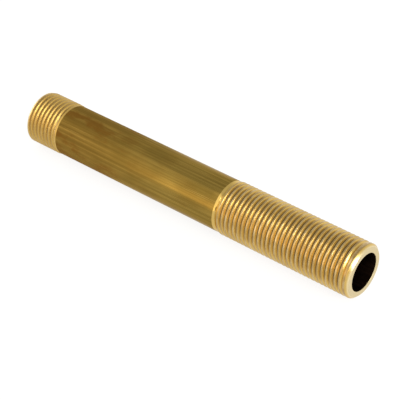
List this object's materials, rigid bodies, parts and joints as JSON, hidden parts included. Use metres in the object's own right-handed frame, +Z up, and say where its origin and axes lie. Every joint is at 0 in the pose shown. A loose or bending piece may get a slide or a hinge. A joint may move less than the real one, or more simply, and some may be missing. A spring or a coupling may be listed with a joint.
{
  "type": "long-thread pipe nipple",
  "caption": "Straight brass tube fitting with a long external pipe thread on one end, a short one on the other and a plain shank between.",
  "frame": {"origin": "middle of the tube, on its axis", "axes": "+X along the tube towards the long thread, +Z up with the tube lying on its side"},
  "size_m": [0.15, 0.0204, 0.0205],
  "materials": {
    "brass": "bright machined threads, dull drawn and tarnished shank"
  },
  "bodies": {
    "root": {"nipple": "brass"}
  },
  "joints": []
}
